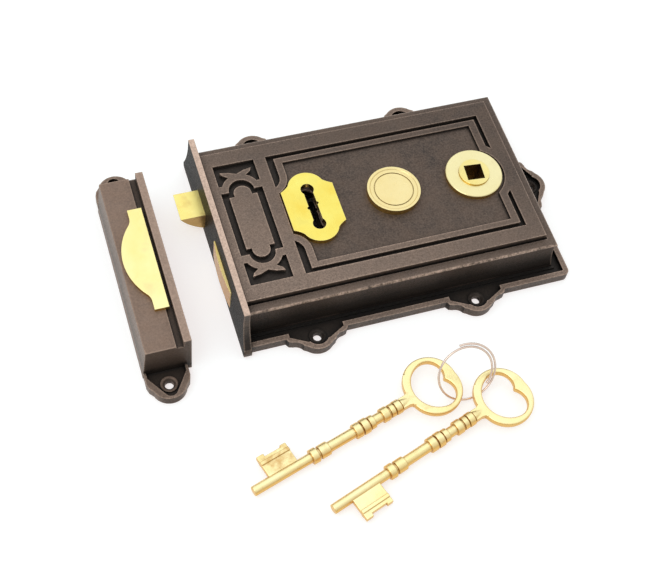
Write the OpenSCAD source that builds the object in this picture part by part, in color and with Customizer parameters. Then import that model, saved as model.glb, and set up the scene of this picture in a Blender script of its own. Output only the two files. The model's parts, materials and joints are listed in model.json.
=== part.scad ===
// Rim box lock set: cast case with a sprung latch and a two-lever dead bolt,
// box keep, two keys on a wire ring. The lock lies on its back.
// Origin: centre of the lock's back. +Z is the face, -X is the forend side.

/* [Case] */
// Length from the inner face of the forend to the flange's edge
case_l = 149.5; // [142:0.5:165]
// Width over the flange
case_w = 101; // [95:0.5:110]
// Height of the raised face above the back
case_h = 23.4; // [23:0.2:27]
// Reach of the flange beyond the raised face
flange_reach = 11.7; // [11:0.1:13]
// Reach of the bead beyond the raised face
bead_reach = 4.55; // [4:0.05:5.5]
// Drop from the raised face to the bead
bead_drop = 2.6; // [2:0.1:3.2]
// Radius of the bead's nose
bead_r = 1.3; // [0.9:0.1:1.5]
// Thickness of the flange
flange_t = 2.6; // [2:0.1:3.2]
// Height of the flange's rim
rim_h = 4.7; // [4.2:0.1:5.5]
// Width of the flange's rim
rim_w = 2.4; // [1.8:0.1:2.8]
// Radius of the flange's corners
corner_r = 2.6; // [1.5:0.1:4]
// Thickness of the side walls at the bead
wall_t = 3.6; // [2.8:0.1:3.8]
// Thickness of the face
face_t = 4.4; // [4.2:0.1:5]

/* [Forend] */
// Thickness of the forend at its lip
forend_t_top = 2.6; // [2:0.1:3.2]
// Thickness of the forend at its foot
forend_t_foot = 3.5; // [3.2:0.1:4.5]
// Height of the forend's lip above the face
forend_lip = 2.9; // [1.5:0.1:4]
// Half width of the forend at its lip
forend_top_hw = 46.6; // [45:0.1:48]
// Half width of the forend at its foot
forend_foot_hw = 52.4; // [51:0.1:56]

/* [Lugs] */
// Place of the first lug, from the forend
lug_start = 29.4; // [26:0.1:34]
// Distance between the two lugs of a side
lug_pitch = 74; // [68:0.5:80]
// Reach of the screw holes beyond the flange
lug_out = 0.9; // [0.4:0.1:1.6]
// Radius of a lug's round end
lug_r = 8; // [7.4:0.1:8.6]
// Diameter of the screw holes
screw_hole_d = 3.8; // [3.6:0.1:4.4]
// Diameter of the screw holes' countersinks
screw_csk_d = 5.8; // [5.4:0.1:6.6]

/* [Strapwork] */
// Depth of the grooves in the face
groove_d = 2; // [1.2:0.1:2.4]
// Depth of the sunk field
field_d = 1.2; // [0.8:0.1:1.5]
// Half height of both framed panels
frame_hh = 31.6; // [30:0.1:33]
// Left edge of the large frame, from the forend
frame_x0 = 28.7; // [27.5:0.1:30]
// Right edge of the large frame, in from the flange's far edge
frame_in = 18.5; // [17.5:0.1:20]
// Width of the frame's groove at the left
groove_w_left = 3.3; // [2.6:0.1:3.6]
// Width of the frame's groove on the other sides
groove_w = 2; // [1.4:0.1:2.4]
// Width of the raised band inside the groove
band_w = 3.3; // [2.8:0.1:3.6]
// Radius of the field's round bay
bay_r = 14.3; // [13.8:0.1:15]
// Left edge of the small panel, from the forend
orn_x0 = 4.4; // [4:0.1:5.5]
// Width of the small panel
orn_w = 18.8; // [18:0.1:20]

/* [Brass on the face] */
// Keyhole, from the forend
keyhole_backset = 41.6; // [41:0.1:44]
// Distance between the keyhole's two round ends
keyhole_pitch = 18.5; // [17.5:0.1:19.5]
// Diameter of the keyhole's round ends
keyhole_d = 5.9; // [5.7:0.1:6.3]
// Width of the keyhole's slot
keyhole_slot = 4.2; // [4.1:0.1:4.6]
// Half width of the keyhole plate
plate_hw = 11.9; // [11:0.1:12.2]
// Half height of the keyhole plate
plate_hh = 18.3; // [17:0.1:19]
// Thickness of the keyhole plate
escutcheon_t = 2.5; // [1.8:0.1:3.2]
// Round plate, as a share of the way from the keyhole to the spindle
disc_share = 0.4925; // [0.47:0.0025:0.515]
// Radius of the round plate
disc_r = 12; // [10:0.1:12.6]
// Thickness of the round plate
disc_t = 3.1; // [2.4:0.1:3.6]
// Spindle, in from the flange's far edge
spindle_in = 31.75; // [31:0.05:33]
// Radius of the spindle rose
rose_r = 13; // [12:0.1:13.4]
// Thickness of the spindle rose
rose_t = 2.3; // [1.6:0.1:2.8]
// Width of the square spindle hole
spindle_w = 8; // [7.6:0.1:8.2]
// Turn of the square hole at rest
spindle_turn = -5; // [-10:1:10]

/* [Latch] */
// Middle of the latch bolt, from the lock's middle line
latch_y = 21.3; // [20.5:0.1:22.5]
// Width of the latch bolt
latch_w = 14; // [13:0.1:15]
// Height of the latch bolt
latch_h = 9.7; // [9.2:0.1:10.2]
// Reach of the latch bolt beyond the forend's foot
latch_out = 10.8; // [9:0.1:12]
// Travel of the latch bolt
latch_travel = 11; // [9:0.1:11.4]

/* [Dead bolt] */
// Middle of the dead bolt, below the lock's middle line
bolt_y = -14.7; // [-15:0.1:-14.2]
// Width of the dead bolt
bolt_w = 27.4; // [26.6:0.1:28.4]
// Height of the dead bolt
bolt_h = 12; // [11:0.1:12.4]
// Reach of the drawn dead bolt beyond the forend's foot
bolt_out = 0.8; // [0.6:0.1:2]
// Crown of the dead bolt's end
bolt_crown = 0.9; // [0.5:0.1:2]
// Travel of the dead bolt
bolt_throw = 13; // [11:0.1:13.4]
// Lift of the first lever, in degrees
lift_1 = 7.7; // [6:0.1:8]
// Lift of the second lever, in degrees
lift_2 = 6.2; // [5:0.1:8]

/* [Keep] */
// Gap between the keep and the forend as the set is laid out
keep_gap = 22.4; // [20:0.1:40]
// Shift of the keep along the forend as the set is laid out
keep_shift = -7.2; // [-8:0.1:0]
// Length of the keep's box
keep_l = 87; // [86:0.5:96]
// Width of the keep's box
keep_w = 21.1; // [20.5:0.1:26]
// Height of the keep's box
keep_h = 20.5; // [19.8:0.1:24]
// Height of the ridge above the keep's box
ridge_up = 3.2; // [2:0.1:4.5]
// Width of the ridge
ridge_w = 3.3; // [2.6:0.1:4]
// Distance from the keep's end wall to its screw hole
keep_hole_out = 6.8; // [6.4:0.1:8]
// Length of the strike
strike_l = 51; // [48:0.5:54]
// Width of the strike at its belly
strike_w = 13.7; // [13:0.1:14.2]
// Width of the strike at its ends
strike_end_w = 6.2; // [5.5:0.1:6.6]
// Thickness of the strike
strike_t = 1.8; // [1.2:0.1:2.4]

/* [Keys] */
// Length of a key from its tip to the middle of its bow
key_l = 89; // [86:0.1:94]
// Diameter of a key's stem
stem_d = 4.3; // [4:0.1:4.8]
// Diameter of a key's collars
collar_d = 6.6; // [6:0.1:7]
// Length of a key's bit
bit_l = 13.6; // [12:0.1:14]
// Reach of a key's bit from the stem's middle line
bit_reach = 11.5; // [10.5:0.1:12]
// Thickness of a key's bit
bit_t = 2.6; // [2:0.1:3]
// Thickness of a key's bow
bow_t = 3.2; // [2.6:0.1:3.4]
// Radius of the two circles of a bow
bow_r = 12; // [11.6:0.1:12.6]
// Radius of the two lobes of a bow's opening
lobe_r = 6.3; // [6:0.1:6.7]
// Radius of the key ring
ring_r = 12.65; // [12.3:0.05:13]
// Diameter of the key ring's wire
ring_wire_d = 1; // [0.8:0.05:1.1]

/* [Hidden] */
$fn = 64;

// Gap between pieces that slide past each other
slide_gap = 0.25;
// Radial gap of a shaft in its hole
run_gap = 0.05;
// Gap around a piece that is fixed in its seat
seat_gap = 0.02;
// How far a cut runs past the face it opens
past = 1;
iron = "#4a443f";
brass = "#d9b24c";
steel = "#8d8f92";

// Case outline
x_in = -(case_l - forend_t_foot) / 2;
x_end = x_in + case_l;
panel_hw = case_w / 2 - flange_reach;
panel_x1 = x_end - flange_reach;
bead_z = case_h - bead_drop;
wall_foot = bead_reach + 0.9;
plinth_reach = wall_foot + 0.9;
plinth_z = flange_t + 0.9;
cove_top = bead_reach - 0.7;
cove_sag = 0.6;
quirk_w = 0.7;
quirk_d = 0.7;
forend_h = case_h + forend_lip;
flare_top = 20;
flare_foot = 3;
flare_sag = 0.9;
foot_r = 1.5;

// Inside of the case
ceil_z = case_h - face_t;
field_z = case_h - field_d;
cav_hw = panel_hw + bead_reach - wall_t;
cav_x1 = panel_x1 + bead_reach - wall_t;
plate_t = 1.5;
rebate_w = 2.2;
post_r = 4;
post_in = 7;
post_x = [x_in + post_in, cav_x1 - post_in];
post_y = cav_hw - post_r - 0.6;
shank_r = 1.9;
shank_l = 9;
head_r = 3.4;
socket_d = 2;

// Lugs
lug_x = [x_in + lug_start, x_in + lug_start + lug_pitch];
lug_boss_r = screw_csk_d / 2 + 0.8;
lug_boss_z = flange_t + 0.5;
csk_z = lug_boss_z - (screw_csk_d - screw_hole_d) / 2;

// Face pieces
kh_x = x_in + keyhole_backset;
spin_x = x_end - spindle_in;
disc_x = kh_x + disc_share * (spin_x - kh_x);
fr_x0 = x_in + frame_x0;
fr_x1 = x_end - frame_in;
field_x0 = fr_x0 + groove_w_left + band_w;
field_x1 = fr_x1 - groove_w - band_w - 0.2;
field_hh = frame_hh - groove_w - band_w + 0.5;
bay_x0 = kh_x - plate_hw - 0.4;
bay_hh = 11;
swell_y = 20;
swell_r = (pow(field_x0 - bay_x0, 2) + pow(swell_y - bay_hh, 2)) / (2 * (field_x0 - bay_x0));
swell_x = field_x0 - swell_r;
stud_r = 1.5;
stud_over = 0.8;
journal_r = 7;
sleeve_r = 9;
boss_up = 0.8;

// Latch
latch_z = 3.5;
latch_tip_x = x_in - forend_t_foot - latch_out;
latch_back_x = x_in + 22;
latch_bevel_l = latch_out - 0.3;
latch_bevel_r = 26;
tail_t = 3;
tail_z = latch_z + 1;
tail_y0 = latch_y - 5.8;
tail_y1 = latch_y + 3.7;
tongue_l = 9;
horn_len = 16;
horn_hw = 2.5;
horn_z = tail_z + tail_t + 0.5;
horn_t = 4;
push_r = 2.2;
push_y = horn_len + 1;
push_x = spin_x + horn_hw + push_r + 0.2;
tail_end_x = push_x + push_r + 1.8;
guide_r = 2.5;
guide_back = 34.75;
guide_x = spin_x - guide_back;
guide_y = (tail_y0 + tail_y1) / 2;
guide_slot_end = latch_travel + guide_r + slide_gap;
shoulder_r = 4;
spring_wire_d = 0.8;
spring_r = 2.3;
spring_turns = 9;
spring_z = tail_z + tail_t + spring_r + spring_wire_d / 2 + 0.2;
spring_stop_x = latch_back_x + 26;
spring_stop_t = 4;
spring_stop_w = 8;

// Dead bolt and levers
bolt_z = 3;
bolt_tip_x = x_in - forend_t_foot - bolt_out;
bolt_back_x = x_in + 19;
bar_z = bolt_z + 2;
bar_t = 4;
stem_y = -keyhole_pitch / 2;
bar_y1 = stem_y - 6.75;
bar_w = 11.2;
bar_y0 = bar_y1 - bar_w;
pivot_x = kh_x + 31.4;
pivot_y = stem_y - 12.75;
pivot_r = 2.5;
bar_end_x = pivot_x + bolt_throw + 6;
talon_w = 5.5;
talon_d = 5;
talon_x = kh_x + bolt_throw / 2;
stump_r = 1.8;
stump_dx = 18;
stump_drop = 3;
lever_t = 2;
lever_gap = 0.3;
lever_z = [bar_z + bar_t + 0.4, bar_z + bar_t + 0.4 + lever_t + lever_gap];
stump_top = lever_z[1] + lever_t + 0.6;
hub_r = 5.4;
lever_top = 7.5;
lever_low = -8;
lever_l = 46;
belly_r = 7.3;
gate_in = stump_dx + bolt_throw / 2 - 1.3;
gate_out = gate_in + 2.6;
pocket_top = 3.3;
pocket_gap = 0.6;
leaf_t = 0.6;
leaf_root = 9;
leaf_len = 31;
leaf_wall_gap = 0.85;
leaf_drop = cav_hw + pivot_y + lever_low - leaf_t - leaf_wall_gap;

// Keep
keep_x1 = x_in - forend_t_foot - keep_gap;
keep_x0 = keep_x1 - keep_w;
keep_slope = 1.7;
keep_wall = 3;
keep_end_wall = 4;
keep_top_t = 3.5;
ridge_groove_w = 3;
ridge_groove_d = 1.2;
keep_lug_r = 7.6;
keep_lug_hw = 9.4;
keep_lug_x = keep_x0 + (keep_w - ridge_w) / 2 + 0.8;
keep_floor = 2.2;
keep_rim_h = 4.6;
strike_x1 = keep_x1 - ridge_w - 1.4;
strike_y = 0.45;
strike_fillet = 6;
strike_arc = (pow(19, 2) / (strike_w - strike_end_w) + strike_w - strike_end_w) / 2;
strike_pin_r = 1.5;
strike_pin_y = 18;

// Keys
bit_start = 8.4;
rib_h = 0.55;
rib_w = 1.6;
notch_r = 0.75;
notch_left_y = -0.6;
notch_right_y = 1.4;
key_pitch_up = 1.25;
rest_collar_s = 29.5;
key_rest_z = collar_d / 2 + 0.05;
collars = [[27.6, 3, 1], [31.6, 4.4, 0.92], [48.8, 3.2, 1], [52.6, 3, 1.03], [56.2, 2.4, 0.9],
    [62.6, 3.2, 0.98], [66.6, 2.2, 0.9], [69.2, 2.8, 0.95]];
thick_from = 30;
thick_to = 71;
thick_add = 0.15;
bow_spread = 1.7;
lobe_spread = 4.6;
lobe_shift = 1.4;
eye_left = bow_r - 3.2;
eye_x = (lobe_shift * lobe_shift + lobe_spread * lobe_spread - pow(eye_left - lobe_r, 2))
    / (2 * (eye_left - lobe_r + lobe_shift));
eye_r = eye_left + eye_x;
neck_w = 5;
neck_l = 4.6;
key_1_tip = [-89.6, -112.6];
key_1_turn = 16.1;
key_2_tip = [-61, -128.4];
key_2_turn = 18.2;
ring_at = [10.05, -88.35, 11.18];
ring_tilt = 55.6;
ring_turns = 1.4;
ring_start = 320;
ring_self_gap = 0.45;

// Centre of the circle of radius r through p and q, on the left of p to q
function arc_centre(p, q, r) =
    let (m = (p + q) / 2, d = q - p, half = norm(d) / 2)
    m + [-d[1], d[0]] / norm(d) * sqrt(r * r - half * half);
// Radius of the arc over a chord with the given rise
function sag_r(chord, sag) = (chord * chord / 4 + sag * sag) / (2 * sag);
// Height of the stump in a lever's own frame after the bolt has moved s
function stump_up(s, lift) =
    (stump_dx + s) * sin(lift * s / bolt_throw) - stump_drop * cos(lift * s / bolt_throw);
// Point of a coil wound about X: turn angle t, pitch p
function coil_x(t, r, p) = [p * t / 360, r * cos(t), r * sin(t)];
// Point of a flat spiral in XY that grows by step each turn
function spiral(t, r, step) = [(r + step * t / 360) * cos(t), (r + step * t / 360) * sin(t), 0];
function unit(v) = v / norm(v);
// Least distance between points of a path that lie at least skip points apart
function self_gap(path, skip) =
    min([for (i = [0:len(path) - 1]) for (j = [i + skip:1:len(path) - 1]) norm(path[i] - path[j])]);

// Round tube along a path; side is a direction that is never along the path
module tube(path, r, side, sides = 6) {
    n = len(path);
    rings = [for (i = [0:n - 1])
        let (d = unit(path[min(i + 1, n - 1)] - path[max(i - 1, 0)]),
            a = unit(cross(d, side)),
            b = cross(d, a))
        for (k = [0:sides - 1]) path[i] + r * (cos(360 * k / sides) * a + sin(360 * k / sides) * b)];
    walls = [for (i = [0:n - 2]) for (k = [0:sides - 1])
        let (p = i * sides + k, q = i * sides + (k + 1) % sides)
        each [[p, p + sides, q], [q, p + sides, q + sides]]];
    caps = [for (k = [1:sides - 2]) each [[0, k, k + 1],
        [(n - 1) * sides, (n - 1) * sides + k + 1, (n - 1) * sides + k]]];
    polyhedron(rings, concat(walls, caps));
}

// Moulding of the case, outward from the raised face's edge, as a section
module edge_section(deep) {
    foot = [wall_foot, flange_t];
    top = [cove_top, bead_z - bead_r];
    cove_r = sag_r(norm(top - foot), cove_sag);
    translate([-deep, 0]) square([deep, case_h]);
    translate([-deep, 0]) square([deep + bead_reach - bead_r, bead_z]);
    translate([bead_reach - bead_r, bead_z - bead_r]) circle(bead_r);
    difference() {
        translate([-deep, 0]) square([deep + wall_foot, bead_z - bead_r]);
        translate(arc_centre(top, foot, cove_r)) circle(cove_r, $fn = 180);
    }
    translate([-deep, 0]) square([deep + plinth_reach, plinth_z]);
    translate([-deep, 0]) square([deep + flange_reach, flange_t]);
}

// Band round the raised face's two sides and end, between two distances beyond its edge
module edge_band(from, to) {
    difference() {
        translate([x_in - past, -panel_hw - to]) square([panel_x1 - x_in + past + to, 2 * (panel_hw + to)]);
        translate([x_in - 2 * past, -panel_hw - from])
            square([panel_x1 - x_in + 2 * past + from, 2 * (panel_hw + from)]);
    }
}

module case_block() {
    difference() {
        union() {
            intersection() {
                translate([x_in, 0, 0]) rotate([90, 0, 90]) linear_extrude(case_l) {
                    translate([panel_hw, 0]) edge_section(panel_hw);
                    mirror([1, 0]) translate([panel_hw, 0]) edge_section(panel_hw);
                }
                translate([panel_x1, case_w / 2 + past, 0]) rotate([90, 0, 0])
                    linear_extrude(case_w + 2 * past) edge_section(panel_x1 - x_in);
            }
            linear_extrude(rim_h) edge_band(flange_reach - rim_w, flange_reach);
        }
        translate([0, 0, bead_z - quirk_d]) linear_extrude(case_h) edge_band(0, quirk_w);
        for (s = [1, -1]) translate([x_end - corner_r, s * (case_w / 2 - corner_r), -past])
            linear_extrude(case_h) difference() {
                translate([0, s > 0 ? 0 : -2 * corner_r]) square(2 * corner_r);
                circle(corner_r);
            }
    }
}

// End view of the forend
module forend_outline() {
    top = [forend_top_hw, flare_top];
    foot = [forend_foot_hw, flare_foot];
    flare_r = sag_r(norm(top - foot), flare_sag);
    for (s = [0, 1]) mirror([s, 0]) {
        square([forend_top_hw, forend_h]);
        square([forend_foot_hw - foot_r, flare_foot]);
        translate([forend_foot_hw - foot_r, foot_r]) circle(foot_r);
        translate([0, foot_r]) square([forend_foot_hw, flare_foot - foot_r]);
        difference() {
            polygon([[0, flare_foot], foot, top, [0, flare_top]]);
            translate(arc_centre(top, foot, flare_r)) circle(flare_r, $fn = 120);
        }
    }
}

module forend() {
    intersection() {
        translate([x_in - forend_t_foot, 0, 0]) rotate([90, 0, 90])
            linear_extrude(forend_t_foot) forend_outline();
        translate([0, forend_foot_hw + past, 0]) rotate([90, 0, 0])
            linear_extrude(2 * (forend_foot_hw + past)) polygon([
                [x_in - forend_t_foot, 0], [x_in, 0], [x_in, forend_h],
                [x_in - forend_t_top, forend_h], [x_in - forend_t_foot, foot_r]]);
    }
}

// Outline of a lug beyond the flange's edge
module lug_outline(back) {
    c = lug_r * sqrt(0.5);
    hw = 14;
    difference() {
        union() {
            circle(lug_r);
            polygon([[-hw, -back], [-hw, 0], [-hw + 1, 1.6], [-hw + 2.8, 2.2], [-c, c], [c, c],
                [hw - 2.8, 2.2], [hw - 1, 1.6], [hw, 0], [hw, -back]]);
        }
        for (s = [1, -1]) translate([s * (hw - 2.7), 6.8]) circle(4.6);
        translate([-lug_r - past, -lug_r - back]) square([2 * (lug_r + past), lug_r]);
    }
}

// Sunk floor of a lug: a rounded triangle that opens into the flange's groove
module lug_floor(back) {
    hw = 12.2;
    tip_r = lug_r - 3.1;
    translate([0, lug_out]) circle(tip_r);
    polygon([[-hw, -back], [-hw, -0.4], [-tip_r, 0.45 * lug_r], [tip_r, 0.45 * lug_r], [hw, -0.4],
        [hw, -back]]);
}

module at_lugs() {
    for (x = lug_x) for (s = [0, 1])
        rotate(180 * s) translate([(1 - 2 * s) * x, case_w / 2, 0]) children();
    translate([x_end, 0, 0]) rotate(-90) children();
}

// Keyhole with its two side notches, widened all round by gap
module keyhole_outline(gap) {
    for (s = [1, -1]) translate([0, s * keyhole_pitch / 2]) circle(keyhole_d / 2 + gap);
    square([keyhole_slot + 2 * gap, keyhole_pitch], center = true);
    translate([-keyhole_slot / 2, notch_left_y]) circle(notch_r + gap);
    translate([keyhole_slot / 2, notch_right_y]) circle(notch_r + gap);
}

// Sunk field of the large frame, with its bay round the keyhole and its round bay
module field_outline() {
    translate([field_x0, -field_hh]) square([field_x1 - field_x0, 2 * field_hh]);
    difference() {
        translate([bay_x0, -swell_y]) square([field_x0 - bay_x0 + past, 2 * swell_y]);
        for (s = [1, -1]) translate([swell_x, s * swell_y]) circle(swell_r);
    }
    translate([spin_x, 0]) circle(bay_r);
}

// Groove of the large frame, open round the two bays
module frame_groove_outline() {
    difference() {
        translate([fr_x0, -frame_hh]) square([fr_x1 - fr_x0, 2 * frame_hh]);
        translate([fr_x0 + groove_w_left, -frame_hh + groove_w])
            square([fr_x1 - fr_x0 - groove_w_left - groove_w, 2 * (frame_hh - groove_w)]);
        translate([fr_x0 - past, -swell_y]) square([groove_w_left + 2 * past, 2 * swell_y]);
        translate([spin_x, 0]) circle(bay_r + band_w + 0.2);
    }
    for (s = [0, 1]) mirror([0, s]) intersection() {
        translate([fr_x0, 0]) square([groove_w_left, swell_y + past]);
        translate([swell_x, swell_y]) circle(swell_r - band_w);
    }
}

// Small strapwork panel: cartouche groove and horned corners
module strapwork_outline() {
    mid = x_in + orn_x0 + orn_w / 2;
    arch_y = 16.5;
    arch_r = 5.7;
    strap_r = 8.7;
    difference() {
        union() {
            translate([mid - orn_w / 2, -arch_y]) square([orn_w, 2 * arch_y]);
            for (s = [1, -1]) translate([mid, s * arch_y]) circle(arch_r);
        }
        translate([mid - 6.3, -13.7]) square([12.6, 27.4]);
        translate([mid - 3.9, -15]) square([7.8, 30]);
        for (s = [1, -1]) translate([mid, s * 15]) circle(3.9);
    }
    for (s = [0, 1]) mirror([0, s]) difference() {
        translate([mid - orn_w / 2, 20.3]) square([orn_w, frame_hh - 20.3]);
        translate([mid, arch_y]) circle(strap_r);
        polygon([[mid - 3, 23.6], [mid - 6.4, 26], [mid - 7.2, 27.6], [mid - 3.4, 27], [mid, 25.6],
            [mid + 3.4, 27], [mid + 7.2, 27.6], [mid + 6.4, 26], [mid + 3, 23.6]]);
    }
}

module sink(depth) {
    translate([0, 0, case_h - depth]) linear_extrude(depth + past) children();
}

// Case casting with its forend, lugs, strapwork and inside bosses
module case() {
    color(iron) difference() {
        union() {
            difference() {
                union() {
                    case_block();
                    forend();
                    at_lugs() linear_extrude(rim_h) lug_outline(rim_w);
                }
                at_lugs() translate([0, 0, flange_t]) linear_extrude(rim_h) lug_floor(rim_w + 0.6);
                translate([x_in, -cav_hw, -past]) cube([cav_x1 - x_in, 2 * cav_hw, ceil_z + past]);
                translate([x_in, -cav_hw - rebate_w, -past])
                    cube([cav_x1 + rebate_w - x_in, 2 * (cav_hw + rebate_w), plate_t + past]);
                sink(groove_d) frame_groove_outline();
                sink(groove_d) strapwork_outline();
                sink(field_d) field_outline();
            }
            at_lugs() translate([0, lug_out, 0]) cylinder(h = lug_boss_z, r = lug_boss_r);
            for (x = post_x) for (s = [1, -1]) translate([x, s * post_y, plate_t])
                cylinder(h = ceil_z - plate_t + past, r = post_r);
            translate([spring_stop_x, latch_y - spring_stop_w / 2, tail_z + tail_t + 0.5])
                cube([spring_stop_t, spring_stop_w, ceil_z - tail_z - tail_t]);
        }
        at_lugs() translate([0, lug_out, 0]) {
            translate([0, 0, -past]) cylinder(h = rim_h, d = screw_hole_d);
            translate([0, 0, csk_z])
                cylinder(h = lug_boss_z - csk_z, d1 = screw_hole_d, d2 = screw_csk_d);
        }
        for (x = post_x) for (s = [1, -1]) translate([x, s * post_y, 0])
            cylinder(h = plate_t + shank_l, r = shank_r + seat_gap);
        translate([kh_x, 0, 0]) linear_extrude(case_h + past) keyhole_outline(0.2);
        for (s = [1, -1]) translate([kh_x + s * (plate_hw - 3.4), 0, 0])
            cylinder(h = case_h, r = stud_r + seat_gap);
        translate([disc_x, 0, 0]) cylinder(h = case_h, r = stud_r + seat_gap);
        translate([spin_x, 0, 0]) cylinder(h = case_h, r = sleeve_r + seat_gap);
        translate([pivot_x, pivot_y, ceil_z - past])
            cylinder(h = socket_d + past, r = pivot_r + seat_gap);
        translate([guide_x, guide_y, ceil_z - past])
            cylinder(h = socket_d + past, r = guide_r + seat_gap);
        translate([x_in - 2 * forend_t_foot, latch_y - latch_w / 2 - slide_gap, latch_z - slide_gap])
            cube([3 * forend_t_foot, latch_w + 2 * slide_gap, latch_h + 2 * slide_gap]);
        translate([x_in - 2 * forend_t_foot, bolt_y - bolt_w / 2 - slide_gap, bolt_z - slide_gap])
            cube([3 * forend_t_foot, bolt_w + 2 * slide_gap, bolt_h + 2 * slide_gap]);
    }
}

module back_plate() {
    color(steel) difference() {
        translate([x_in + seat_gap, -cav_hw - rebate_w + 0.15, 0])
            cube([cav_x1 + rebate_w - x_in - 0.15, 2 * (cav_hw + rebate_w - 0.15), plate_t]);
        translate([kh_x, 0, -past]) linear_extrude(plate_t + 2 * past) keyhole_outline(0.2);
        translate([spin_x, 0, -past]) cylinder(h = plate_t + 2 * past, r = journal_r + run_gap);
        for (x = post_x) for (s = [1, -1]) translate([x, s * post_y, 0]) {
            cylinder(h = plate_t, r1 = head_r + seat_gap, r2 = shank_r + seat_gap);
            translate([0, 0, -past]) cylinder(h = plate_t + 2 * past, r = shank_r + seat_gap);
        }
    }
}

module back_plate_screws() {
    slot_w = 1;
    slot_d = 0.7;
    color(steel) for (x = post_x) for (s = [1, -1]) translate([x, s * post_y, 0]) difference() {
        union() {
            cylinder(h = plate_t, r1 = head_r, r2 = shank_r);
            cylinder(h = plate_t + shank_l - 0.5, r = shank_r);
        }
        translate([-slot_w / 2, -head_r, -past]) cube([slot_w, 2 * head_r, slot_d + past]);
    }
}

// Plate with straight sides, pointed corners and an arched top and foot
module escutcheon_outline() {
    side_hh = 10.2;
    arch_r = 8.5;
    shoulder_r2 = 14;
    meet = [5.2, plate_hh - 1.7];
    corner = [plate_hw, side_hh];
    square([2 * plate_hw, 2 * side_hh], center = true);
    for (s = [0, 1]) mirror([0, s]) {
        translate([0, plate_hh - arch_r]) circle(arch_r);
        difference() {
            polygon([[-plate_hw, side_hh], [-meet[0], meet[1]], [0, plate_hh - 3], meet, corner]);
            for (m = [0, 1]) mirror([m, 0])
                translate(arc_centre(meet, corner, shoulder_r2)) circle(shoulder_r2);
        }
    }
}

module keyhole_escutcheon() {
    color(brass) difference() {
        union() {
            translate([kh_x, 0, field_z]) linear_extrude(escutcheon_t) escutcheon_outline();
            for (s = [1, -1]) translate([kh_x + s * (plate_hw - 3.4), 0, ceil_z - stud_over])
                cylinder(h = field_z - ceil_z + stud_over, r = stud_r);
        }
        translate([kh_x, 0, field_z - past]) linear_extrude(escutcheon_t + 2 * past) keyhole_outline(0);
    }
}

// Plain round plate with a raised rim and one engraved ring
module round_plate() {
    rim = 1.1;
    dish = 0.35;
    ring_in = 8.5;
    ring_out = 9;
    color(brass) translate([disc_x, 0, 0]) {
        rotate_extrude() polygon([[0, field_z], [disc_r, field_z], [disc_r, field_z + disc_t],
            [disc_r - rim, field_z + disc_t], [disc_r - rim - dish, field_z + disc_t - dish],
            [ring_out, field_z + disc_t - dish], [ring_out, field_z + disc_t - 2 * dish],
            [ring_in, field_z + disc_t - 2 * dish], [ring_in, field_z + disc_t - dish],
            [0, field_z + disc_t - dish]]);
        translate([0, 0, ceil_z - stud_over]) cylinder(h = field_z - ceil_z + stud_over, r = stud_r);
    }
}

// Rose whose sleeve lines the face and carries the follower
module spindle_rose() {
    edge = 0.3;
    color(brass) translate([spin_x, 0, 0]) rotate_extrude() polygon([[journal_r + run_gap, ceil_z],
        [sleeve_r, ceil_z], [sleeve_r, field_z], [rose_r, field_z], [rose_r, field_z + rose_t - edge],
        [rose_r - edge, field_z + rose_t], [journal_r + run_gap, field_z + rose_t]]);
}

// Follower with its square hole, its two journals and the horn that draws the latch
module follower() {
    boss_z = field_z + rose_t + boss_up;
    color(brass) translate([spin_x, 0, 0]) difference() {
        union() {
            translate([0, 0, 0.2]) cylinder(h = boss_z - 0.2, r = journal_r);
            translate([0, 0, plate_t + 0.1]) cylinder(h = ceil_z - plate_t - 0.25, r = sleeve_r);
            translate([0, 0, horn_z]) linear_extrude(horn_t) {
                translate([-horn_hw, 0]) square([2 * horn_hw, horn_len - horn_hw]);
                translate([0, horn_len - horn_hw]) circle(horn_hw);
            }
        }
        rotate(spindle_turn) translate([-spindle_w / 2, -spindle_w / 2, -past])
            cube([spindle_w, spindle_w, boss_z + 2 * past]);
    }
}

// Side view of the latch bolt, its slope rounded from the tip down to the back
module latch_side() {
    tip = [latch_tip_x, latch_z + latch_h];
    heel = [latch_tip_x + latch_bevel_l, latch_z];
    translate([heel[0], latch_z]) square([latch_back_x - heel[0], latch_h]);
    intersection() {
        translate([tip[0], latch_z]) square([latch_bevel_l + 0.01, latch_h]);
        translate(arc_centre(tip, heel, latch_bevel_r)) circle(latch_bevel_r, $fn = 120);
    }
}

module latch_head() {
    color(brass) difference() {
        translate([0, latch_y + latch_w / 2, 0]) rotate([90, 0, 0]) linear_extrude(latch_w) latch_side();
        translate([latch_back_x - tongue_l - seat_gap, tail_y0 - seat_gap, tail_z - seat_gap])
            cube([tongue_l + past, tail_y1 - tail_y0 + 2 * seat_gap, tail_t + 2 * seat_gap]);
    }
}

module latch_tail() {
    color(steel) translate([0, 0, tail_z]) linear_extrude(tail_t) difference() {
        translate([latch_back_x - tongue_l, tail_y0])
            square([tail_end_x - latch_back_x + tongue_l, tail_y1 - tail_y0]);
        translate([guide_x - guide_slot_end, guide_y - guide_r - run_gap])
            square([guide_slot_end, 2 * (guide_r + run_gap)]);
        translate([guide_x, guide_y]) circle(guide_r + run_gap);
        translate([push_x, push_y]) circle(push_r + seat_gap);
    }
}

module latch_stud() {
    color(steel) translate([push_x, push_y, tail_z]) cylinder(h = horn_z + horn_t - tail_z, r = push_r);
}

module latch_spring() {
    length = spring_stop_x - latch_back_x - 2 * spring_wire_d;
    path = [for (t = [0:45:360 * spring_turns]) coil_x(t, spring_r, length / spring_turns)];
    echo(latch_spring_gap = self_gap(path, 6) - spring_wire_d);
    color(steel) translate([latch_back_x + spring_wire_d, latch_y, spring_z])
        tube(path, spring_wire_d / 2, [1, 0, 0]);
}

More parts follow.
